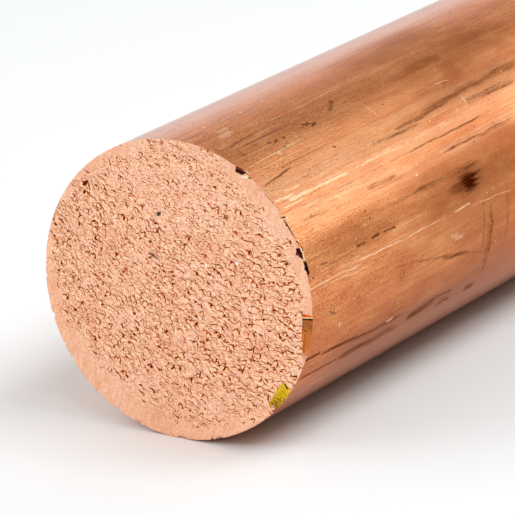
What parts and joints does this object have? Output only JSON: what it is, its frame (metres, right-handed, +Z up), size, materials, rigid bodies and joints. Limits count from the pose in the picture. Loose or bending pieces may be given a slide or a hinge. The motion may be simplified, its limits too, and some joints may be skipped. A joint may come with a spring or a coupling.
{
  "type": "copper round bar",
  "caption": "Length of solid round copper bar stock with rough sawn ends, lying on its barrel, for turning, milling or bus and electrode work.",
  "frame": {"origin": "on the floor under the middle of the bar, where its barrel touches", "axes": "+X along the bar, away from the sawn end with the damaged rim; +Z up; the damaged part of that rim faces -Y"},
  "size_m": [0.3048, 0.0508, 0.0508],
  "materials": {
    "copper": "satin"
  },
  "bodies": {
    "root": {"round_bar": "copper"}
  },
  "joints": []
}
